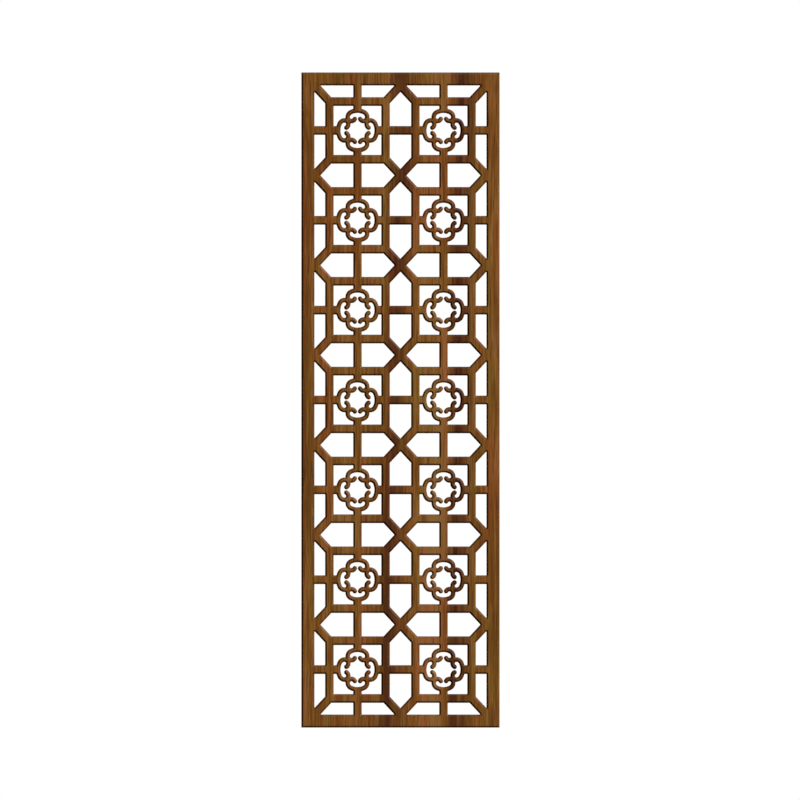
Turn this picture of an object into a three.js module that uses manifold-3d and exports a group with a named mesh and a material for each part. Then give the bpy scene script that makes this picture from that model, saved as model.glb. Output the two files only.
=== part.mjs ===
// Lattice screen panel for a window, a wall opening or a facade: one metal plate, cut through
// with a Chinese-style lattice. A plain border surrounds a grid of cells. Each cell has a
// rectangular frame in its middle, a brace from each corner of the frame to the cell's own
// corner, and a spoke from each side of the cell, through the frame, to a rosette of four
// C-shaped scrolls whose hooked ends cross on the diagonals.
// Everything lies in one plane and is one piece.
//
// Millimetres, +Z up. The panel stands upright, with its face towards -Y and its width along X.
// The origin is the middle of its bottom edge, halfway through the plate.

import * as THREE from "three";
import { mergeVertices } from "three/addons/utils/BufferGeometryUtils.js";
import Module from "manifold-3d";

const wasm = await Module();
wasm.setup();

// Overall sizes
const PANEL_WIDTH = 605;
const PANEL_HEIGHT = 2000;
const PLATE_THICKNESS = 10;
const BORDER_WIDTH = 40;

// The grid of cells that fills the space inside the border
const COLUMNS = 2;
const ROWS = 7;

// The straight bars of a cell: those that stand, those that lie, and those that slant
const UPRIGHT_WIDTH = 26;
const RAIL_WIDTH = 27;
const BRACE_WIDTH = 27;
// From the cell's side to the middle of the frame's upright, and from its top to the middle
// of the frame's rail
const FRAME_INSET_X = 45.5;
const FRAME_INSET_Z = 49;

// The rosette: the gap that is left between it and the frame, and its band
const ROSETTE_CLEARANCE = 7;
const SCROLL_WIDTH = 14;
// A scroll is a flat crown, a rounder shoulder on each side, and a hook at each end. These are
// the radii of its middle line, as shares of the rosette's half width, and how far each turns.
const CROWN_SHARE = 0.722;
const SHOULDER_SHARE = 0.2575;
const HOOK_SHARE = 0.1753;
const CROWN_TURN = THREE.MathUtils.degToRad(25);
const SHOULDER_TURN = THREE.MathUtils.degToRad(60.5);
const HOOK_TURN = THREE.MathUtils.degToRad(156.5);

// The most that a facet may stray from its arc and the most that it may turn
const FACET_ERROR = 1.1;
const FACET_TURN = THREE.MathUtils.degToRad(90);
// How far a bar runs into what it meets, how far out of line a corner has to be to count as one,
// and how near to each other two points count as the same
const LAP = 2;
const STRAIGHTNESS = 0.01;
const SAME_POINT = 0.0001;

// What follows from those sizes
const openingWidth = PANEL_WIDTH - 2 * BORDER_WIDTH;
const openingHeight = PANEL_HEIGHT - 2 * BORDER_WIDTH;
const cellWidth = openingWidth / COLUMNS;
const cellHeight = openingHeight / ROWS;
const frameX = cellWidth / 2 - FRAME_INSET_X;
const frameZ = cellHeight / 2 - FRAME_INSET_Z;
const rosetteX = frameX - UPRIGHT_WIDTH / 2 - ROSETTE_CLEARANCE;
const rosetteZ = frameZ - RAIL_WIDTH / 2 - ROSETTE_CLEARANCE;

// Solids. Shapes are drawn flat, with x across the panel and y up it, and are extruded through
// the plate's thickness.

function toSolid(geometry) {
  geometry.deleteAttribute("normal");
  geometry.deleteAttribute("uv");
  const merged = mergeVertices(geometry, SAME_POINT);
  const mesh = new wasm.Mesh({
    numProp: 3,
    vertProperties: merged.attributes.position.array,
    triVerts: new Uint32Array(merged.index.array),
  });
  return new wasm.Manifold(mesh);
}

function toGeometry(solid) {
  const mesh = solid.getMesh();
  const geometry = new THREE.BufferGeometry();
  geometry.setAttribute("position", new THREE.BufferAttribute(mesh.vertProperties, 3));
  geometry.setIndex(new THREE.BufferAttribute(mesh.triVerts, 1));
  return geometry;
}

function cutFromPlate(shape) {
  const geometry = new THREE.ExtrudeGeometry(shape, {
    depth: PLATE_THICKNESS,
    bevelEnabled: false,
  });
  return geometry.translate(0, 0, -PLATE_THICKNESS / 2);
}

function join(solids) {
  return solids.reduce((sum, solid) => sum.add(solid)).asOriginal().simplify(STRAIGHTNESS);
}

// Straight pieces

function rectangle(halfWidth, halfHeight) {
  return [
    new THREE.Vector2(-halfWidth, -halfHeight),
    new THREE.Vector2(halfWidth, -halfHeight),
    new THREE.Vector2(halfWidth, halfHeight),
    new THREE.Vector2(-halfWidth, halfHeight),
  ];
}

function rectangularRing(halfWidth, halfHeight, uprights, rails) {
  const shape = new THREE.Shape(rectangle(halfWidth, halfHeight));
  shape.holes.push(new THREE.Path(rectangle(halfWidth - uprights, halfHeight - rails)));
  return cutFromPlate(shape);
}

function bar(from, to, width) {
  const along = to.clone().sub(from);
  const shape = new THREE.Shape(rectangle(along.length() / 2, width / 2));
  const middle = from.clone().add(to).divideScalar(2);
  return cutFromPlate(shape).rotateZ(along.angle()).translate(middle.x, middle.y, 0);
}

// The rosette

function arcPoints(centre, radius, from, to) {
  const widestStep = Math.min(FACET_TURN, 2 * Math.acos(Math.max(1 - FACET_ERROR / radius, 0)));
  const steps = Math.ceil(Math.abs(to - from) / widestStep);
  const points = [];
  for (let i = 0; i <= steps; i++) {
    const angle = from + ((to - from) * i) / steps;
    const offset = new THREE.Vector2(Math.cos(angle), Math.sin(angle));
    points.push(offset.multiplyScalar(radius).add(centre));
  }
  return points;
}

function scrollArcs(reach, crown, shoulder, hook) {
  const up = Math.PI / 2;
  const arcs = [];
  let centre = new THREE.Vector2(0, reach - crown);
  let angle = up;
  let radius = crown;
  for (const [next, turn] of [
    [crown, CROWN_TURN],
    [shoulder, SHOULDER_TURN],
    [hook, HOOK_TURN],
  ]) {
    const towards = new THREE.Vector2(Math.cos(angle), Math.sin(angle));
    centre = centre.clone().addScaledVector(towards, radius - next);
    arcs.push({ centre, radius: next, from: angle, to: angle - turn });
    angle -= turn;
    radius = next;
  }
  return arcs;
}

function scrollOutline(halfWidth) {
  const arcs = scrollArcs(
    halfWidth - SCROLL_WIDTH / 2,
    halfWidth * CROWN_SHARE,
    halfWidth * SHOULDER_SHARE,
    halfWidth * HOOK_SHARE,
  );
  const side = (offset) =>
    arcs.flatMap(({ centre, radius, from, to }) => arcPoints(centre, radius + offset, from, to));
  const outer = side(SCROLL_WIDTH / 2);
  const inner = side(-SCROLL_WIDTH / 2);
  const { centre, radius, to } = arcs.at(-1);
  const tip = new THREE.Vector2(Math.cos(to), Math.sin(to)).multiplyScalar(radius).add(centre);
  const end = arcPoints(tip, SCROLL_WIDTH / 2, to, to - Math.PI);
  const right = [...outer, ...end.slice(1, -1), ...inner.reverse()];
  const left = right.map((p) => new THREE.Vector2(-p.x, p.y)).reverse();
  return withoutRepeats([...right, ...left]);
}

function withoutRepeats(points) {
  return points.filter((p, i) => p.distanceTo(points.at(i - 1)) > SAME_POINT);
}

function rosette() {
  const shape = new THREE.Shape(scrollOutline(rosetteX));
  return [0, 1, 2, 3].map((quarter) =>
    cutFromPlate(shape)
      .rotateZ((quarter * Math.PI) / 2)
      .scale(1, rosetteZ / rosetteX, 1),
  );
}

// One cell, about its own centre

function spokes() {
  const middleOfBand = SCROLL_WIDTH / 2;
  const crownX = rosetteX - middleOfBand;
  const crownZ = rosetteZ - middleOfBand;
  return [-1, 1].flatMap((side) => [
    bar(
      new THREE.Vector2(side * crownX, 0),
      new THREE.Vector2(side * (cellWidth / 2 + LAP), 0),
      RAIL_WIDTH,
    ),
    bar(
      new THREE.Vector2(0, side * crownZ),
      new THREE.Vector2(0, side * (cellHeight / 2 + LAP)),
      UPRIGHT_WIDTH,
    ),
  ]);
}

function braces() {
  return [-1, 1].flatMap((x) =>
    [-1, 1].map((y) => {
      const frameCorner = new THREE.Vector2(x * frameX, y * frameZ);
      const cellCorner = new THREE.Vector2((x * cellWidth) / 2, (y * cellHeight) / 2);
      const outward = cellCorner.clone().sub(frameCorner).normalize();
      return bar(frameCorner, cellCorner.addScaledVector(outward, LAP), BRACE_WIDTH);
    }),
  );
}

function cell() {
  const frame = rectangularRing(
    frameX + UPRIGHT_WIDTH / 2,
    frameZ + RAIL_WIDTH / 2,
    UPRIGHT_WIDTH,
    RAIL_WIDTH,
  );
  return toGeometry(join([frame, ...spokes(), ...braces(), ...rosette()].map(toSolid)));
}

// The panel

function panel() {
  const border = rectangularRing(
    PANEL_WIDTH / 2,
    PANEL_HEIGHT / 2,
    BORDER_WIDTH,
    BORDER_WIDTH,
  );
  const oneCell = cell();
  const solids = [toSolid(border)];
  for (let column = 0; column < COLUMNS; column++) {
    for (let row = 0; row < ROWS; row++) {
      const x = (column - (COLUMNS - 1) / 2) * cellWidth;
      const y = (row - (ROWS - 1) / 2) * cellHeight;
      solids.push(toSolid(oneCell.clone().translate(x, y, 0)));
    }
  }
  return toGeometry(join(solids));
}

const woodGrainCoat = new THREE.MeshStandardMaterial({
  color: 0x72481e,
  roughness: 0.45,
  metalness: 0,
  flatShading: true,
});

const latticePlate = new THREE.Mesh(panel(), woodGrainCoat);
latticePlate.name = "lattice_plate";
latticePlate.rotation.x = Math.PI / 2;
latticePlate.position.z = PANEL_HEIGHT / 2;

const screenPanel = new THREE.Group();
screenPanel.name = "screen_panel";
screenPanel.add(latticePlate);

export default screenPanel;
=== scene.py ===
"""Lattice screen panel in a wood-grain coat: its fine mesh, its finish and the studio round it.

Sizes are in metres, with +Z up. The panel stands upright on its bottom edge, with its face
towards -Y and its width along X. Outlines are drawn in the panel's own plane, as X and Z.
"""

import logging
import math
from dataclasses import dataclass, field
from enum import Enum

import bpy
import numpy as np
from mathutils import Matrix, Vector
from mathutils.geometry import delaunay_2d_cdt


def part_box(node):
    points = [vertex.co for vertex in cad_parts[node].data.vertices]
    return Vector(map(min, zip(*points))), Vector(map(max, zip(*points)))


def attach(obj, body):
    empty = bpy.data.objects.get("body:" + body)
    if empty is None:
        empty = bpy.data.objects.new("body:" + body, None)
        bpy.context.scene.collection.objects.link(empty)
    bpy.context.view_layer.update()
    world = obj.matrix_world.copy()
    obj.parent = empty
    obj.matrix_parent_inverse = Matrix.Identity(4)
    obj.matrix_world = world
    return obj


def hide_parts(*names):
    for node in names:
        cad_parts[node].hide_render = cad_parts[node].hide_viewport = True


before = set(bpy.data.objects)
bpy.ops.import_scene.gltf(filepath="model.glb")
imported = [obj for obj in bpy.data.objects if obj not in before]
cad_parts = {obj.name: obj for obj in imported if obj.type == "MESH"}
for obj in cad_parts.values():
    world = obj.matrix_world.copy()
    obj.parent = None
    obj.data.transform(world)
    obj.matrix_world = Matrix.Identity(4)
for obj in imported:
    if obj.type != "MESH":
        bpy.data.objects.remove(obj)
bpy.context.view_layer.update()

BODY = "root"
PLATE_NODE = "lattice_plate"
PIECE_NAME = "lattice_screen"
FLOOR_NAME = "studio_floor"
COAT_SLOT = "wood_grain_coat"

# Points of an outline closer than this are one point, and drawn edges closer than this touch.
SAME_POINT = 1e-6
TOUCHING = 1e-7
# The kind of cutting into triangles that leaves out what lies outside the outlines.
INSIDE_OUTLINES = 1

Outline = np.ndarray
Loop = list[int]
Point = tuple[float, float]
Colour = tuple[float, float, float]
Socket = bpy.types.NodeSocket

log = logging.getLogger("screen_panel")


class Side(Enum):
    """The two mirrored sides of a cell, as the sign of their coordinate."""

    LOW = -1
    HIGH = 1


class Operation(Enum):
    """The sums that the finish needs."""

    ADD = "ADD"
    SUBTRACT = "SUBTRACT"
    MULTIPLY = "MULTIPLY"


class Blend(Enum):
    """How one colour is laid over another: in its place, or as a tint on it."""

    COVER = "MIX"
    TINT = "MULTIPLY"


@dataclass(frozen=True)
class LatticeSizes:
    """Driving sizes of the lattice.

    Attributes:
        border: Width of the plain border.
        columns: Cells across the panel.
        rows: Cells up the panel.
        upright: Width of the bars that stand.
        rail: Width of the bars that lie.
        brace: Width of the bars that slant.
        frame_inset_x: From a cell's side to the middle of its frame's upright.
        frame_inset_z: From a cell's top to the middle of its frame's rail.
        rosette_clearance: Gap between the frame and the rosette.
        scroll: Width of the rosette's band.
        lap: How far a bar runs into what it meets.
    """

    border: float = 0.04
    columns: int = 2
    rows: int = 7
    upright: float = 0.026
    rail: float = 0.027
    brace: float = 0.027
    frame_inset_x: float = 0.0455
    frame_inset_z: float = 0.049
    rosette_clearance: float = 0.007
    scroll: float = 0.014
    lap: float = 0.002


@dataclass(frozen=True)
class ScrollShape:
    """A scroll's middle line: one arc after another, on each side of its crown.

    The radii are shares of the rosette's half width.

    Attributes:
        crown: Radius of the flat crown.
        shoulder: Radius of the rounder shoulder.
        hook: Radius of the hook at the end.
        crown_turn: How far the crown turns on each side.
        shoulder_turn: How far the shoulder turns.
        hook_turn: How far the hook turns.
    """

    crown: float = 0.722
    shoulder: float = 0.2575
    hook: float = 0.1753
    crown_turn: float = math.radians(25)
    shoulder_turn: float = math.radians(60.5)
    hook_turn: float = math.radians(156.5)


@dataclass(frozen=True)
class EdgeShape:
    """How the cutter leaves the plate's edges.

    Attributes:
        chamfer: How far the front edge's chamfer reaches into the face.
        slope: Angle between the chamfer and the face.
        ease: Radius that softens the chamfer's own two edges.
        ease_steps: Facets in each of those.
        back_break: Width of the small chamfer on the back edge.
        corner_radius: Radius that the cutter leaves in a window's corner.
        corner_steps: Facets in such a corner.
        facet_error: The most that a facet of the outline strays from its arc.
    """

    chamfer: float = 0.0058
    slope: float = math.radians(52)
    ease: float = 0.0008
    ease_steps: int = 2
    back_break: float = 0.0006
    corner_radius: float = 0.0012
    corner_steps: int = 4
    facet_error: float = 0.00004

    def section(self) -> list[tuple[float, float]]:
        """Works out the front edge's section, from the face to the plate's side.

        Returns:
            How far each point lies in from the side, and how far back from the face.
        """
        depth = self.ease + (self.chamfer - self.ease) * math.tan(self.slope)
        by_face = np.linspace(0, self.slope, self.ease_steps + 1)
        by_side = np.linspace(self.slope, math.pi / 2, self.ease_steps + 1)
        return [
            (self.chamfer - self.ease * math.sin(angle), self.ease * (1 - math.cos(angle)))
            for angle in by_face
        ] + [
            (self.ease * (1 - math.sin(angle)), depth - self.ease * math.cos(angle))
            for angle in by_side
        ]


def unit(vector: np.ndarray) -> np.ndarray:
    """Returns a vector, or each of several, at length 1."""
    return vector / np.linalg.norm(vector, axis=-1, keepdims=True)


def polar(angle: float) -> np.ndarray:
    """Returns the unit vector at an angle."""
    return np.array([math.cos(angle), math.sin(angle)])


def rectangle(low: Point, high: Point) -> Outline:
    """Returns the rectangle between two corners, anticlockwise."""
    return np.array([low, (high[0], low[1]), high, (low[0], high[1])])


def bar(start: np.ndarray, end: np.ndarray, width: float) -> Outline:
    """Draws a straight bar.

    Args:
        start: The middle of one end.
        end: The middle of the other end.
        width: Width of the bar.

    Returns:
        Its outline, anticlockwise.
    """
    along = unit(end - start)
    across = np.array([-along[1], along[0]]) * width / 2
    return np.array([start - across, end - across, end + across, start + across])


def arc(centre: np.ndarray, radius: float, start: float, end: float, error: float) -> Outline:
    """Draws an arc with no more points than it needs.

    Args:
        centre: Its centre.
        radius: Its radius.
        start: Angle of its first point.
        end: Angle of its last point.
        error: The most that a facet may stray from the arc.

    Returns:
        Its points, both ends included.
    """
    widest_step = 2 * math.acos(1 - error / radius)
    steps = math.ceil(abs(end - start) / widest_step)
    angles = np.linspace(start, end, steps + 1)
    return centre + radius * np.column_stack([np.cos(angles), np.sin(angles)])


def signed_area(outline: Outline) -> float:
    """Returns the area inside an outline, negative if it runs clockwise."""
    following = np.roll(outline, -1, axis=0)
    return (outline[:, 0] * following[:, 1] - outline[:, 1] * following[:, 0]).sum() / 2


def numbered(outlines: list[Outline]) -> list[Loop]:
    """Numbers the points of some outlines, counted through all of them.

    Args:
        outlines: The outlines.

    Returns:
        The numbers of each outline's points, in order.
    """
    ends = np.cumsum([len(outline) for outline in outlines])
    return [list(range(end - len(outline), end)) for outline, end in zip(outlines, ends)]


@dataclass
class Triangulation:
    """Some outlines, cut together into triangles.

    Attributes:
        places: The triangles' corners.
        triangles: Three corner numbers for each triangle, anticlockwise.
        sources: For each corner, the numbers of the outlines' points that lie there.
        owners: For each triangle, the outlines that it lies in.
    """

    places: list[Vector]
    triangles: list[Loop]
    sources: list[list[int]]
    owners: list[list[int]]

    @classmethod
    def of(cls, outlines: list[Outline], loops: list[Loop]) -> "Triangulation":
        """Cuts some outlines into triangles.

        Args:
            outlines: The outlines.
            loops: The numbers of each one's points, anticlockwise.

        Returns:
            The triangles.
        """
        corners = [Vector(point) for outline in outlines for point in outline]
        made = delaunay_2d_cdt(corners, [], loops, INSIDE_OUTLINES, TOUCHING)
        return cls(places=made[0], triangles=made[2], sources=made[3], owners=made[5])


@dataclass
class Contour:
    """One closed edge of the plate: the outer one runs anticlockwise, a window's clockwise.

    The plate's material always lies on its left.

    Attributes:
        points: Its corners, in order.
    """

    points: Outline

    def directions(self) -> np.ndarray:
        """Returns the unit vector from each point to the next."""
        return unit(np.roll(self.points, -1, axis=0) - self.points)

    def turns(self) -> np.ndarray:
        """Measures how far the contour turns at each of its points.

        Returns:
            The turns in radians, positive to the left.
        """
        after = self.directions()
        before = np.roll(after, 1, axis=0)
        cross = before[:, 0] * after[:, 1] - before[:, 1] * after[:, 0]
        return np.arctan2(cross, (before * after).sum(axis=1))

    def without_straight_points(self, least_turn: float = math.radians(0.3)) -> "Contour":
        """Returns the contour without the points at which it doesn't turn."""
        return Contour(self.points[np.abs(self.turns()) > least_turn])

    def point_along(self, index: int, distance: float, step: int) -> tuple[np.ndarray, int]:
        """Walks along the contour from one of its points.

        Args:
            index: The point to start from.
            distance: How far to walk.
            step: 1 to walk forwards, -1 to walk back.

        Returns:
            The place reached, and how many points were passed on the way.
        """
        here = self.points[index]
        passed = 0
        while True:
            ahead = self.points[(index + step * (passed + 1)) % len(self.points)]
            length = np.linalg.norm(ahead - here)
            if length > distance:
                return here + (ahead - here) * distance / length, passed
            distance -= length
            here = ahead
            passed += 1

    def routed(self, radius: float, steps: int, sharp: float = math.radians(25)) -> "Contour":
        """Rounds the inside corners of the windows, as a round cutter leaves them.

        Args:
            radius: The cutter's radius.
            steps: Facets in each corner.
            sharp: The least turn that counts as a corner.

        Returns:
            The contour with its corners rounded.
        """
        turns = self.turns()
        count = len(self.points)
        dropped: set[int] = set()
        corners: dict[int, Outline] = {}
        share = np.linspace(0, 1, steps + 1)[:, None]
        for index in np.flatnonzero(turns < -sharp):
            reach = radius * math.tan(-turns[index] / 2)
            start, back = self.point_along(index, reach, -1)
            end, ahead = self.point_along(index, reach, 1)
            corner = self.points[index]
            corners[index] = (
                start * (1 - share) ** 2 + 2 * corner * share * (1 - share) + end * share**2
            )
            dropped.update((index + offset) % count for offset in range(-back, ahead + 1))
        parts = []
        for index in range(count):
            if index in corners:
                parts.append(corners[index])
            elif index not in dropped:
                parts.append(self.points[index : index + 1])
        return Contour(np.vstack(parts))

    def inset(self, distance: float) -> Outline:
        """Moves the contour into the plate, each of its sides by the same distance.

        Args:
            distance: How far the sides move.

        Returns:
            The moved points, in the same order.
        """
        after = self.directions()
        normals = np.column_stack([-after[:, 1], after[:, 0]])
        before = np.roll(normals, 1, axis=0)
        mitres = (before + normals) / (1 + (before * normals).sum(axis=1))[:, None]
        return self.points + mitres * distance


def joined(outlines: list[Outline]) -> list[Contour]:
    """Joins overlapping outlines into one flat shape.

    Args:
        outlines: Closed outlines, anticlockwise.

    Returns:
        The contours of the shape that they cover together.
    """
    made = Triangulation.of(outlines, numbered(outlines))
    edges = {
        (triangle[i - 1], triangle[i])
        for triangle, owners in zip(made.triangles, made.owners)
        if owners
        for i in range(3)
    }
    following = {start: end for start, end in sorted(edges) if (end, start) not in edges}
    contours = []
    while following:
        first, here = following.popitem()
        loop = [first]
        while here != first:
            loop.append(here)
            here = following.pop(here)
        contours.append(Contour(np.array([made.places[index][:] for index in loop])))
    return [contour.without_straight_points() for contour in contours]


@dataclass
class Lattice:
    """The lattice's flat drawing: a border filled with a grid of cells, each with its rosette.

    Attributes:
        width: Width of the whole panel.
        height: Height of the whole panel.
        sizes: Driving sizes.
        scroll: Form of the rosette's scrolls.
        edge: The plate's edges, for the fineness of the arcs.
    """

    width: float
    height: float
    sizes: LatticeSizes = field(default_factory=LatticeSizes)
    scroll: ScrollShape = field(default_factory=ScrollShape)
    edge: EdgeShape = field(default_factory=EdgeShape)

    @property
    def cell(self) -> np.ndarray:
        """Width and height of a cell."""
        opening = np.array([self.width, self.height]) - 2 * self.sizes.border
        return opening / (self.sizes.columns, self.sizes.rows)

    @property
    def frame(self) -> np.ndarray:
        """From a cell's centre to the middle of its frame's upright, and of its rail."""
        return self.cell / 2 - (self.sizes.frame_inset_x, self.sizes.frame_inset_z)

    @property
    def frame_bands(self) -> np.ndarray:
        """Widths of a frame's uprights and of its rails."""
        return np.array([self.sizes.upright, self.sizes.rail])

    @property
    def rosette(self) -> np.ndarray:
        """Half the rosette's width and half its height."""
        return self.frame - self.frame_bands / 2 - self.sizes.rosette_clearance

    def border_bars(self) -> list[Outline]:
        """Draws the border, with its foot at height 0.

        Returns:
            Its two rails and its two stiles.
        """
        right = self.width / 2
        band = self.sizes.border
        return [
            rectangle((-right, 0), (right, band)),
            rectangle((-right, self.height - band), (right, self.height)),
            rectangle((-right, 0), (band - right, self.height)),
            rectangle((right - band, 0), (right, self.height)),
        ]

    def frame_bars(self) -> list[Outline]:
        """Draws a cell's frame, about the cell's centre.

        Returns:
            Its two rails and its two uprights.
        """
        upright, rail = self.frame_bands
        x, z = self.frame + self.frame_bands / 2
        return [
            rectangle((-x, -z), (x, rail - z)),
            rectangle((-x, z - rail), (x, z)),
            rectangle((-x, -z), (upright - x, z)),
            rectangle((x - upright, -z), (x, z)),
        ]

    def spokes(self) -> list[Outline]:
        """Draws the bars from a cell's sides to the crowns of its rosette.

        Returns:
            The two that lie, and the two that stand.
        """
        crown = self.rosette - self.sizes.scroll / 2
        side = self.cell / 2 + self.sizes.lap
        widths = [self.sizes.rail, self.sizes.upright]
        return [
            bar(axis * crown * way.value, axis * side * way.value, width)
            for axis, width in zip(np.eye(2), widths)
            for way in Side
        ]

    def braces(self) -> list[Outline]:
        """Draws the bars from a frame's corners to its cell's corners.

        Returns:
            The four braces.
        """
        bars = []
        for x in Side:
            for z in Side:
                quarter = np.array([x.value, z.value])
                start = self.frame * quarter
                end = self.cell / 2 * quarter
                lap = unit(end - start) * self.sizes.lap
                bars.append(bar(start, end + lap, self.sizes.brace))
        return bars

    def scroll_outline(self) -> Outline:
        """Draws the rosette's upper scroll, before the rosette is stretched to its height.

        Returns:
            Its outline, anticlockwise.
        """
        half_width = self.rosette[0]
        half_band = self.sizes.scroll / 2
        shape = self.scroll
        stretches = [
            (half_width * shape.crown, shape.crown_turn),
            (half_width * shape.shoulder, shape.shoulder_turn),
            (half_width * shape.hook, shape.hook_turn),
        ]
        angle = math.pi / 2
        centre = np.zeros(2)
        reach = half_width - half_band
        outer, inner = [], []
        for radius, turn in stretches:
            centre = centre + polar(angle) * (reach - radius)
            ends = angle, angle - turn
            outer.append(arc(centre, radius + half_band, *ends, self.edge.facet_error))
            inner.append(arc(centre, radius - half_band, *ends, self.edge.facet_error))
            angle -= turn
            reach = radius
        tip = centre + polar(angle) * reach
        end = arc(tip, half_band, angle, angle - math.pi, self.edge.facet_error)
        right = np.vstack([*outer, end, np.vstack(inner)[::-1]])
        left = right[::-1] * (-1, 1)
        outline = np.vstack([right, left])[::-1]
        steps = np.linalg.norm(outline - np.roll(outline, 1, axis=0), axis=1)
        return outline[steps > SAME_POINT]

    def scrolls(self) -> list[Outline]:
        """Draws a rosette: the upper scroll, turned by a quarter for each of the next.

        Returns:
            Its four scrolls.
        """
        stretch = self.rosette / self.rosette[0]
        quarter_turn = np.array([[0, 1], [-1, 0]])
        upper = self.scroll_outline()
        left = upper @ quarter_turn
        lower = left @ quarter_turn
        right = lower @ quarter_turn
        return [outline * stretch for outline in (upper, left, lower, right)]

    def contours(self) -> list[Contour]:
        """Draws the whole lattice.

        Returns:
            Its edges, with everything joined into one shape.
        """
        cell = self.frame_bars() + self.spokes() + self.braces() + self.scrolls()
        outlines = self.border_bars()
        middle = np.array([0, self.height / 2])
        for column in range(self.sizes.columns):
            for row in range(self.sizes.rows):
                steps = (
                    column - (self.sizes.columns - 1) / 2,
                    row - (self.sizes.rows - 1) / 2,
                )
                outlines += [outline + middle + self.cell * steps for outline in cell]
        return joined(outlines)


@dataclass(frozen=True)
class BroadStreak:
    """A dark or pale streak that runs up the whole panel.

    Attributes:
        foot: Its X at the panel's bottom.
        head: Its X at the panel's top.
        left_reach: How far it fades out to the left.
        right_reach: How far it fades out to the right.
        strength: How strongly it shows, from 0 to 1.
    """

    foot: float
    head: float
    left_reach: float
    right_reach: float
    strength: float


@dataclass(frozen=True)
class GrainLayer:
    """One size of grain in the coat.

    The film is wrapped round the edges, so the grain hardly changes through the thickness.

    Attributes:
        across: Streaks for each metre across the panel.
        along: Streaks for each metre up the panel.
        detail: Finer octaves added to it.
        weight: Its share in the tone.
        through: Streaks through the thickness, for each one across.
        roughness: How strongly the finer octaves show.
    """

    across: float
    along: float
    detail: float
    weight: float = 1.0
    through: float = 0.15
    roughness: float = 0.6


@dataclass(frozen=True)
class Fade:
    """How a mark fades in as some value changes, which may rise or fall.

    Attributes:
        start: The value at which the mark begins to show.
        end: The value at which it shows fully.
        strength: How strong it is there.
    """

    start: float
    end: float
    strength: float = 1.0


@dataclass(frozen=True)
class Tint:
    """A hue that the wood drifts to in places.

    Attributes:
        factors: What the wood's red, green and blue are multiplied by.
        fade: How it comes in with the slow changes of hue.
    """

    factors: Colour
    fade: Fade


class NodeGraph:
    """The nodes of a material or a surround, added one at a time."""

    def __init__(self, owner: bpy.types.Material | bpy.types.World) -> None:
        """Empties the owner's node tree, ready for new nodes.

        Args:
            owner: The material or world that the nodes are for.
        """
        owner.use_nodes = True
        self.tree = owner.node_tree
        self.tree.nodes.clear()

    def add(
        self,
        kind: str,
        inputs: dict[str | int, object] | None = None,
        **settings: object,
    ) -> bpy.types.Node:
        """Adds a node.

        Args:
            kind: The node's type.
            inputs: A value or a socket for each input, by its name or number.
            settings: The node's own settings.

        Returns:
            The node.
        """
        node = self.tree.nodes.new(kind)
        for name, value in settings.items():
            setattr(node, name, value)
        for name, value in (inputs or {}).items():
            if isinstance(value, bpy.types.NodeSocket):
                self.tree.links.new(value, node.inputs[name])
            else:
                node.inputs[name].default_value = value
        return node

    def sum(self, operation: Operation, first: Socket | float, second: Socket | float) -> Socket:
        """Returns the result of one sum on two values."""
        node = self.add("ShaderNodeMath", {0: first, 1: second}, operation=operation.value)
        return node.outputs[0]

    def smooth_step(self, value: Socket, start: float, end: float) -> Socket:
        """Turns a value into a share of the way from one level to another, eased at both.

        Args:
            value: The value.
            start: The level that gives 0.
            end: The level that gives 1.

        Returns:
            The share.
        """
        inputs = {"Value": value, "From Min": start, "From Max": end}
        node = self.add("ShaderNodeMapRange", inputs, interpolation_type="SMOOTHSTEP")
        return node.outputs[0]

    def faded(self, value: Socket, fade: Fade) -> Socket:
        """Works out how strongly a mark shows.

        Args:
            value: The value that it fades in with.
            fade: How it does so.

        Returns:
            Its strength.
        """
        shown = self.smooth_step(value, fade.start, fade.end)
        return self.sum(Operation.MULTIPLY, shown, fade.strength)

    def grain(self, place: Socket, grain: GrainLayer) -> Socket:
        """Adds one size of grain.

        Args:
            place: Where it is read.
            grain: Its size.

        Returns:
            Its value, about 0.5 on average.
        """
        scale = (grain.across, grain.across * grain.through, grain.along)
        stretched = self.add(
            "ShaderNodeVectorMath", {0: place, 1: scale}, operation="MULTIPLY"
        ).outputs[0]
        noise = self.add(
            "ShaderNodeTexNoise",
            {
                "Vector": stretched,
                "Scale": 1.0,
                "Detail": grain.detail,
                "Roughness": grain.roughness,
            },
        )
        return noise.outputs["Fac"]

    def ramp(self, value: Socket, stops: list[tuple[float, Colour]]) -> Socket:
        """Turns a value into a colour.

        Args:
            value: The value, from 0 to 1.
            stops: The values at which a colour is met, each with that colour.

        Returns:
            The colour, blended between the stops.
        """
        node = self.add("ShaderNodeValToRGB", {"Fac": value})
        elements = node.color_ramp.elements
        while len(elements) < len(stops):
            elements.new(1.0)
        for element, (position, colour) in zip(elements, stops):
            element.position = position
            element.color = (*colour, 1.0)
        return node.outputs["Color"]

    def blend(
        self, share: Socket, under: Socket, over: Colour, manner: Blend = Blend.COVER
    ) -> Socket:
        """Lays one colour over another.

        Args:
            share: How strongly it is laid on, from 0 to 1.
            under: The colour below.
            over: The colour on top.
            manner: How it is laid on.

        Returns:
            The two together.
        """
        inputs = {0: share, 6: under, 7: (*over, 1.0)}
        node = self.add("ShaderNodeMix", inputs, data_type="RGBA", blend_type=manner.value)
        return node.outputs[2]


def linear_light(level: int) -> float:
    """Returns the light that a screen gives for a level out of 255, by its usual curve."""
    share = level / 255
    return share / 12.92 if share <= 0.04045 else ((share + 0.055) / 1.055) ** 2.4


def display_colour(red: int, green: int, blue: int) -> Colour:
    """Returns the linear colour that a screen shows for three levels out of 255."""
    return linear_light(red), linear_light(green), linear_light(blue)


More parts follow.
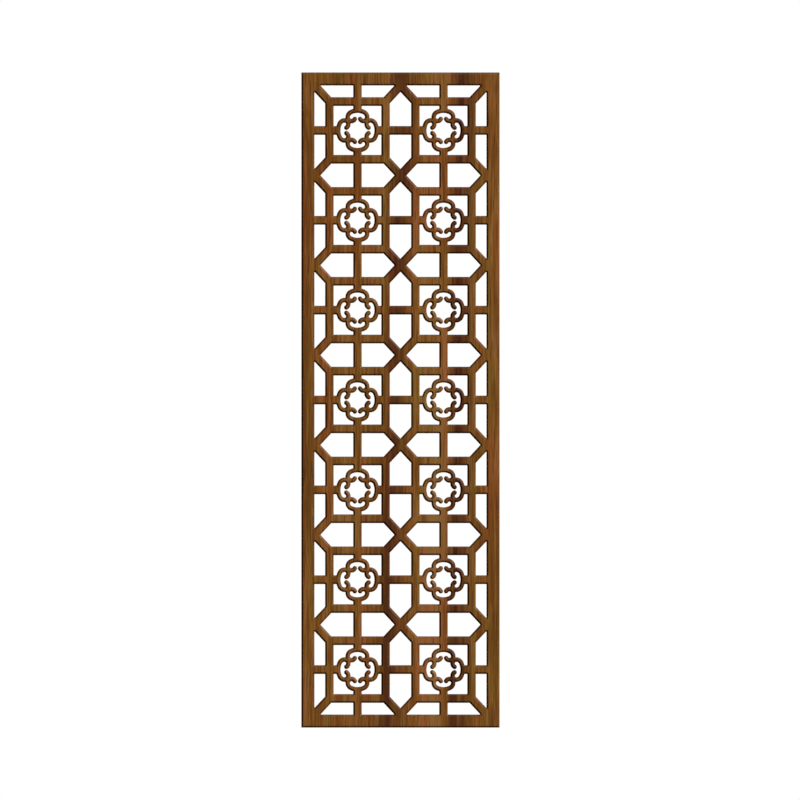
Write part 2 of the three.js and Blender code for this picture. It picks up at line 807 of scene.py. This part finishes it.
@dataclass(frozen=True)
class WoodGrainCoat:
    """The coat: a satin film with a brown wood grain that runs straight up the panel.

    The colour is darker on the chamfers and sides, where the surface turns from the face: this is
    painted shade.

    Attributes:
        heart_and_edge_shade: Colour of the dark streaks and the pores, and of the painted shade on
            the edges.
        shade: Colour of the grain's dark lines.
        body: Colour between its dark lines and its light ones.
        light: Colour of its light lines.
        bands: The broadest grain.
        streaks: The grain between the broadest and the finest.
        fibres: The finest grain.
        contrast: How the tone rises from the dark lines to the light ones.
        hues: Slow changes of hue.
        tints: The hues that they bring.
        dark_streaks: Dark streaks that run up the whole panel.
        pale_streaks: Pale streaks that do.
        pale_lift: How far a pale streak raises the tone.
        ragged_edges: Noise that makes those streaks uneven.
        ragged: How they fade in with that noise.
        wander: Slow noise by which the grain strays sideways.
        wander_reach: How far it may stray.
        pore_marks: Fine noise whose peaks are the pores.
        pores_open: How a pore fades in with that noise.
        pore_depth: How far a pore darkens.
        painted_edge_shade: How the painted shade on the edges fades in as the surface turns from
            the face.
        relief_strength: How strongly the grain's relief shows.
        relief_depth: Its depth.
        dull: Roughness of the dark lines.
        satin: Roughness of the light lines.
        refraction: The film's index of refraction.
        gloss: How strongly it mirrors the light.
    """

    heart_and_edge_shade: Colour = display_colour(62, 19, 0)
    shade: Colour = display_colour(96, 53, 3)
    body: Colour = display_colour(121, 77, 21)
    light: Colour = display_colour(136, 93, 47)
    bands: GrainLayer = GrainLayer(across=16, along=0.9, detail=1, weight=0.26)
    streaks: GrainLayer = GrainLayer(across=130, along=5.5, detail=2, weight=0.42)
    fibres: GrainLayer = GrainLayer(across=380, along=10, detail=2, weight=0.32)
    contrast: Fade = Fade(start=0.40, end=0.62)
    hues: GrainLayer = GrainLayer(across=24, along=1.6, detail=2)
    tints: tuple[Tint, ...] = (
        Tint(factors=(1.22, 0.76, 1.1), fade=Fade(start=0.49, end=0.61, strength=0.42)),
        Tint(factors=(0.82, 1.14, 0.8), fade=Fade(start=0.48, end=0.36, strength=0.39)),
    )
    dark_streaks: tuple[BroadStreak, ...] = (
        BroadStreak(foot=-0.046, head=-0.002, left_reach=0.042, right_reach=0.075, strength=0.84),
        BroadStreak(foot=0.162, head=0.188, left_reach=0.040, right_reach=0.066, strength=1.0),
    )
    pale_streaks: tuple[BroadStreak, ...] = (
        BroadStreak(foot=0.090, head=0.108, left_reach=0.080, right_reach=0.075, strength=1.0),
    )
    pale_lift: float = 0.09
    ragged_edges: GrainLayer = GrainLayer(across=60, along=1.5, detail=2)
    ragged: Fade = Fade(start=0.1, end=0.65)
    wander: GrainLayer = GrainLayer(across=3, along=1.6, detail=1)
    wander_reach: float = 0.015
    pore_marks: GrainLayer = GrainLayer(across=260, along=11, detail=1)
    pores_open: Fade = Fade(start=0.58, end=0.68)
    pore_depth: float = 0.6
    painted_edge_shade: Fade = Fade(start=0.95, end=0.75, strength=0.25)
    relief_strength: float = 0.35
    relief_depth: float = 0.0002
    dull: float = 0.42
    satin: float = 0.34
    refraction: float = 1.47
    gloss: float = 0.25

    def material(self, height: float) -> bpy.types.Material:
        """Makes the coat's material.

        Args:
            height: Height of the panel, up which the broad streaks run.

        Returns:
            The material.
        """
        material = bpy.data.materials.new(COAT_SLOT)
        graph = NodeGraph(material)
        place = self.grain_place(graph)
        fibres = graph.grain(place, self.fibres)
        uneven = graph.faded(graph.grain(place, self.ragged_edges), self.ragged)
        pale = self.spread(graph, place, uneven, height, self.pale_streaks)
        dark = self.spread(graph, place, uneven, height, self.dark_streaks)
        tone = self.tone(graph, place, fibres, pale)
        pores = graph.faded(graph.grain(place, self.pore_marks), self.pores_open)
        darkened = graph.sum(Operation.MULTIPLY, pores, self.pore_depth)
        colour = self.colour(graph, place, tone, dark)
        colour = graph.blend(darkened, colour, self.heart_and_edge_shade)
        # Painted shade: the chamfers and sides are darkened towards the dark streaks' colour.
        colour = graph.blend(self.painted_edge_shade_share(graph), colour, self.heart_and_edge_shade)
        relief = {
            "Strength": self.relief_strength,
            "Distance": self.relief_depth,
            "Height": graph.sum(Operation.SUBTRACT, fibres, pores),
        }
        finish = {"Value": tone, "To Min": self.dull, "To Max": self.satin}
        shader = graph.add(
            "ShaderNodeBsdfPrincipled",
            {
                "Base Color": colour,
                "Roughness": graph.add("ShaderNodeMapRange", finish).outputs[0],
                "Normal": graph.add("ShaderNodeBump", relief).outputs[0],
                "Metallic": 0.0,
                "IOR": self.refraction,
                "Specular IOR Level": self.gloss,
            },
        )
        graph.add("ShaderNodeOutputMaterial", {"Surface": shader.outputs[0]})
        return material

    def grain_place(self, graph: NodeGraph) -> Socket:
        """Finds the place on the panel, nudged sideways so that the grain wanders a little.

        Args:
            graph: The material's nodes.

        Returns:
            Where the grain is read.
        """
        place = graph.add("ShaderNodeTexCoord").outputs["Object"]
        off_middle = graph.sum(Operation.SUBTRACT, graph.grain(place, self.wander), 0.5)
        sideways = graph.sum(Operation.MULTIPLY, off_middle, 2 * self.wander_reach)
        shift = graph.add("ShaderNodeCombineXYZ", {"X": sideways}).outputs[0]
        return graph.add("ShaderNodeVectorMath", {0: place, 1: shift}, operation="ADD").outputs[0]

    def tone(self, graph: NodeGraph, place: Socket, fibres: Socket, pale: Socket) -> Socket:
        """Mixes the sizes of grain.

        Args:
            graph: The material's nodes.
            place: Where the grain is read.
            fibres: The finest grain.
            pale: How far the pale streaks lighten each place.

        Returns:
            The grain's tone, from 0 for its dark lines to 1 for its light ones.
        """
        total = graph.sum(Operation.MULTIPLY, fibres, self.fibres.weight)
        for grain in (self.bands, self.streaks):
            share = graph.sum(Operation.MULTIPLY, graph.grain(place, grain), grain.weight)
            total = graph.sum(Operation.ADD, total, share)
        lift = graph.sum(Operation.MULTIPLY, pale, self.pale_lift)
        return graph.faded(graph.sum(Operation.ADD, total, lift), self.contrast)

    def spread(
        self,
        graph: NodeGraph,
        place: Socket,
        uneven: Socket,
        height: float,
        streaks: tuple[BroadStreak, ...],
    ) -> Socket:
        """Works out how strongly some broad streaks show together.

        Args:
            graph: The material's nodes.
            place: Where they are read.
            uneven: What share of them shows at each place.
            height: Height of the panel.
            streaks: The streaks.

        Returns:
            Their strength at each place, from 0 to 1.
        """
        parts = graph.add("ShaderNodeSeparateXYZ", {0: place})
        x, z = parts.outputs["X"], parts.outputs["Z"]
        clear: Socket | float = 1.0
        for streak in streaks:
            lean = graph.sum(Operation.MULTIPLY, z, (streak.head - streak.foot) / height)
            middle = graph.sum(Operation.ADD, lean, streak.foot)
            off = graph.sum(Operation.SUBTRACT, x, middle)
            rising = graph.smooth_step(off, -streak.left_reach, 0.0)
            falling = graph.smooth_step(off, streak.right_reach, 0.0)
            mask = graph.sum(Operation.MULTIPLY, rising, falling)
            shown = graph.sum(Operation.MULTIPLY, mask, uneven)
            strength = graph.sum(Operation.MULTIPLY, shown, streak.strength)
            rest = graph.sum(Operation.SUBTRACT, 1.0, strength)
            clear = graph.sum(Operation.MULTIPLY, clear, rest)
        return graph.sum(Operation.SUBTRACT, 1.0, clear)

    def colour(self, graph: NodeGraph, place: Socket, tone: Socket, dark: Socket) -> Socket:
        """Colours the wood.

        Args:
            graph: The material's nodes.
            place: Where the slow changes of hue are read.
            tone: The grain's tone.
            dark: How strongly the dark streaks show.

        Returns:
            The wood's colour, without its pores.
        """
        wood = graph.ramp(tone, [(0.0, self.shade), (0.5, self.body), (1.0, self.light)])
        hue = graph.grain(place, self.hues)
        for tint in self.tints:
            wood = graph.blend(graph.faded(hue, tint.fade), wood, tint.factors, Blend.TINT)
        return graph.blend(dark, wood, self.heart_and_edge_shade)

    def painted_edge_shade_share(self, graph: NodeGraph) -> Socket:
        """Works out where the edges get painted shade, by how far the surface turns from the face.

        Args:
            graph: The material's nodes.

        Returns:
            The painted shade's share, from 0 on the faces to its full value on chamfers and sides.
        """
        normal = graph.add("ShaderNodeTexCoord").outputs["Normal"]
        forwards = graph.add("ShaderNodeSeparateXYZ", {0: normal}).outputs["Y"]
        squareness = graph.add("ShaderNodeMath", {0: forwards}, operation="ABSOLUTE").outputs[0]
        return graph.faded(squareness, self.painted_edge_shade)


@dataclass
class Plate:
    """The panel itself: one plate, cut through with the lattice and chamfered in front.

    Attributes:
        low: The lowest corner of the plate's box.
        high: The highest corner of the plate's box.
        edge: How the cutter leaves the plate's edges.
        coat: The finish on it.
    """

    low: Vector
    high: Vector
    edge: EdgeShape = field(default_factory=EdgeShape)
    coat: WoodGrainCoat = field(default_factory=WoodGrainCoat)

    @property
    def height(self) -> float:
        """Height of the panel."""
        return self.high.z - self.low.z

    def profile(self) -> list[tuple[float, float]]:
        """Works out the edge's section, from the front face round to the back.

        Returns:
            The inset and the Y of each level.
        """
        front = [(inset, self.low.y + setback) for inset, setback in self.edge.section()]
        side = (0.0, self.high.y - self.edge.back_break)
        back = (self.edge.back_break, self.high.y)
        return [*front, side, back]

    def contours(self) -> list[Contour]:
        """Draws the plate's edges, with the windows' corners as the cutter leaves them.

        Returns:
            The outer edge and those of the windows.
        """
        lattice = Lattice(self.high.x - self.low.x, self.height, edge=self.edge)
        radius, steps = self.edge.corner_radius, self.edge.corner_steps
        return [contour.routed(radius, steps) for contour in lattice.contours()]

    @staticmethod
    def cap(outlines: list[Outline]) -> list[Loop]:
        """Fills a flat face of the plate, with its windows left open.

        Args:
            outlines: The face's edges.

        Returns:
            Triangles of point numbers, anticlockwise, counted through all the outlines.

        Raises:
            ValueError: If two edges cross.
        """
        windows = {index for index, outline in enumerate(outlines) if signed_area(outline) < 0}
        loops = [
            loop[::-1] if index in windows else loop
            for index, loop in enumerate(numbered(outlines))
        ]
        made = Triangulation.of(outlines, loops)
        if any(len(source) != 1 for source in made.sources):
            raise ValueError("two edges of the lattice cross or touch")
        return [
            [made.sources[index][0] for index in triangle]
            for triangle, owners in zip(made.triangles, made.owners)
            if owners and not windows.intersection(owners)
        ]

    @staticmethod
    def walls(loops: list[Loop], levels: int) -> list[Loop]:
        """Joins the edges of each level to those of the next.

        Args:
            loops: The point numbers of each edge of the first level.
            levels: How many levels there are.

        Returns:
            Faces of four point numbers, counted through all the levels.
        """
        here = np.concatenate(loops)
        following = np.concatenate([np.roll(loop, -1) for loop in loops])
        faces: list[Loop] = []
        for level in range(levels - 1):
            front, back = level * len(here), (level + 1) * len(here)
            strip = [here + front, here + back, following + back, following + front]
            faces += np.column_stack(strip).tolist()
        return faces

    def mesh(self) -> bpy.types.Mesh:
        """Builds the plate's closed mesh.

        Returns:
            The mesh.
        """
        contours = self.contours()
        levels = self.profile()
        rings = [[contour.inset(inset) for contour in contours] for inset, _ in levels]
        flat = [np.vstack(ring) for ring in rings]
        vertices = np.vstack(
            [
                np.column_stack([points[:, 0], np.full(len(points), y), points[:, 1]])
                for points, (_, y) in zip(flat, levels)
            ]
        )
        to_back = len(vertices) - len(flat[-1])
        faces = self.cap(rings[0])
        faces += [[index + to_back for index in reversed(face)] for face in self.cap(rings[-1])]
        faces += self.walls(numbered(rings[0]), len(levels))
        made = bpy.data.meshes.new(PIECE_NAME)
        made.from_pydata(vertices.tolist(), [], faces)
        made.validate()
        made.update()
        log.info("plate: %d windows, %d faces", len(contours) - 1, len(made.polygons))
        return made

    def shade(self, plate: bpy.types.Object, crease: float = math.radians(28)) -> None:
        """Shades the roundings smoothly, and keeps the faces flat and the mitres crisp.

        Args:
            plate: The plate's object.
            crease: Angle over which an edge stays crisp.
        """
        mesh = plate.data
        mesh.shade_smooth()
        mesh.set_sharp_from_angle(angle=crease)
        weighted = plate.modifiers.new("flat_faces_lead", "WEIGHTED_NORMAL")
        weighted.mode = "FACE_AREA"
        weighted.keep_sharp = True

    def build(self) -> bpy.types.Object:
        """Builds and dresses the plate, and ties it to the frame.

        Returns:
            The plate's object.
        """
        plate = bpy.data.objects.new(PIECE_NAME, self.mesh())
        bpy.context.scene.collection.objects.link(plate)
        plate.data.materials.append(self.coat.material(self.height))
        self.shade(plate)
        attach(plate, BODY)
        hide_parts(PLATE_NODE)
        return plate


@dataclass(frozen=True)
class Lamp:
    """A soft, distant light.

    Attributes:
        name: What it is for.
        comes_from: Direction that it shines from.
        strength: Its brightness.
        spread: Its width in the sky, in degrees.
    """

    name: str
    comes_from: tuple[float, float, float]
    strength: float
    spread: float


@dataclass
class Studio:
    """A pale floor, a white surround, soft light and the camera.

    Attributes:
        lamps: The lights, of which the main one shines from the upper right.
        surround: How brightly the white surround lights the panel.
        floor_half: Half the floor's width.
        floor_colour: Colour of the floor.
        floor_roughness: How matt it is.
        floor_glow: How much of its paleness doesn't depend on the lamps.
        frame_width: Width that the picture covers.
        aim: Point that the camera looks at.
        distance: How far the camera stands off.
    """

    lamps: tuple[Lamp, ...] = (
        Lamp(name="key", comes_from=(0.58, -0.73, 0.36), strength=4.0, spread=14.0),
        Lamp(name="rear", comes_from=(0.42, 0.74, 0.52), strength=2.8, spread=80.0),
    )
    surround: float = 0.06
    floor_half: float = 20.0
    floor_colour: Colour = (0.86, 0.86, 0.85)
    floor_roughness: float = 0.9
    floor_glow: float = 0.2
    frame_width: float = 2.442
    aim: tuple[float, float, float] = (-0.0014, 0.0, 1.0)
    distance: float = 6.0

    def light(self) -> None:
        """Hangs the lamps."""
        for lamp in self.lamps:
            data = bpy.data.lights.new(lamp.name, "SUN")
            data.energy = lamp.strength
            data.angle = math.radians(lamp.spread)
            light = bpy.data.objects.new(lamp.name, data)
            light.rotation_mode = "QUATERNION"
            light.rotation_quaternion = Vector(lamp.comes_from).to_track_quat("Z", "Y")
            bpy.context.scene.collection.objects.link(light)

    def surroundings(self) -> None:
        """Makes the surround: white behind the panel, and dimmer as a light on it."""
        world = bpy.data.worlds.new("surround")
        bpy.context.scene.world = world
        graph = NodeGraph(world)
        seen = graph.add("ShaderNodeLightPath").outputs["Is Camera Ray"]
        strength = graph.add(
            "ShaderNodeMapRange", {"Value": seen, "To Min": self.surround, "To Max": 1.0}
        )
        white = (1.0, 1.0, 1.0, 1.0)
        sky = graph.add(
            "ShaderNodeBackground", {"Color": white, "Strength": strength.outputs[0]}
        )
        graph.add("ShaderNodeOutputWorld", {"Surface": sky.outputs[0]})

    def floor_material(self) -> bpy.types.Material:
        """Makes the floor's plain pale material.

        Returns:
            The material.
        """
        material = bpy.data.materials.new("pale_floor")
        graph = NodeGraph(material)
        pale = (*self.floor_colour, 1.0)
        shader = graph.add(
            "ShaderNodeBsdfPrincipled",
            {
                "Base Color": pale,
                "Roughness": self.floor_roughness,
                "Emission Color": pale,
                "Emission Strength": self.floor_glow,
            },
        )
        graph.add("ShaderNodeOutputMaterial", {"Surface": shader.outputs[0]})
        return material

    def floor(self) -> bpy.types.Object:
        """Lays the pale floor, so that it throws no light of its own on the panel.

        Returns:
            The floor's object.
        """
        half = self.floor_half
        corners = [(-half, -half, 0), (half, -half, 0), (half, half, 0), (-half, half, 0)]
        mesh = bpy.data.meshes.new(FLOOR_NAME)
        mesh.from_pydata(corners, [], [(0, 1, 2, 3)])
        mesh.materials.append(self.floor_material())
        floor = bpy.data.objects.new(FLOOR_NAME, mesh)
        floor.visible_diffuse = False
        floor.visible_glossy = False
        bpy.context.scene.collection.objects.link(floor)
        return floor

    def camera(self) -> None:
        """Sets the camera square on to the panel, far off, so that nothing is foreshortened."""
        data = bpy.data.cameras.new("camera")
        data.type = "ORTHO"
        data.ortho_scale = self.frame_width
        camera = bpy.data.objects.new("camera", data)
        camera.location = Vector(self.aim) - Vector((0, self.distance, 0))
        camera.rotation_euler = (math.pi / 2, 0, 0)
        bpy.context.scene.collection.objects.link(camera)
        bpy.context.scene.camera = camera

    def build(self) -> bpy.types.Object:
        """Sets up the whole studio.

        Returns:
            The floor, which is its one object that shows.
        """
        self.camera()
        self.light()
        self.surroundings()
        bpy.context.scene.view_settings.view_transform = "Standard"
        return self.floor()


def main() -> None:
    """Builds the studio and the panel."""
    logging.basicConfig(level=logging.INFO, format="%(name)s: %(message)s")
    floor = Studio().build()
    log.info("%s is laid", floor.name)
    low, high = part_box(PLATE_NODE)
    plate = Plate(low, high).build()
    log.info("%s rides on %s", plate.name, BODY)


if __name__ == "__main__":
    main()
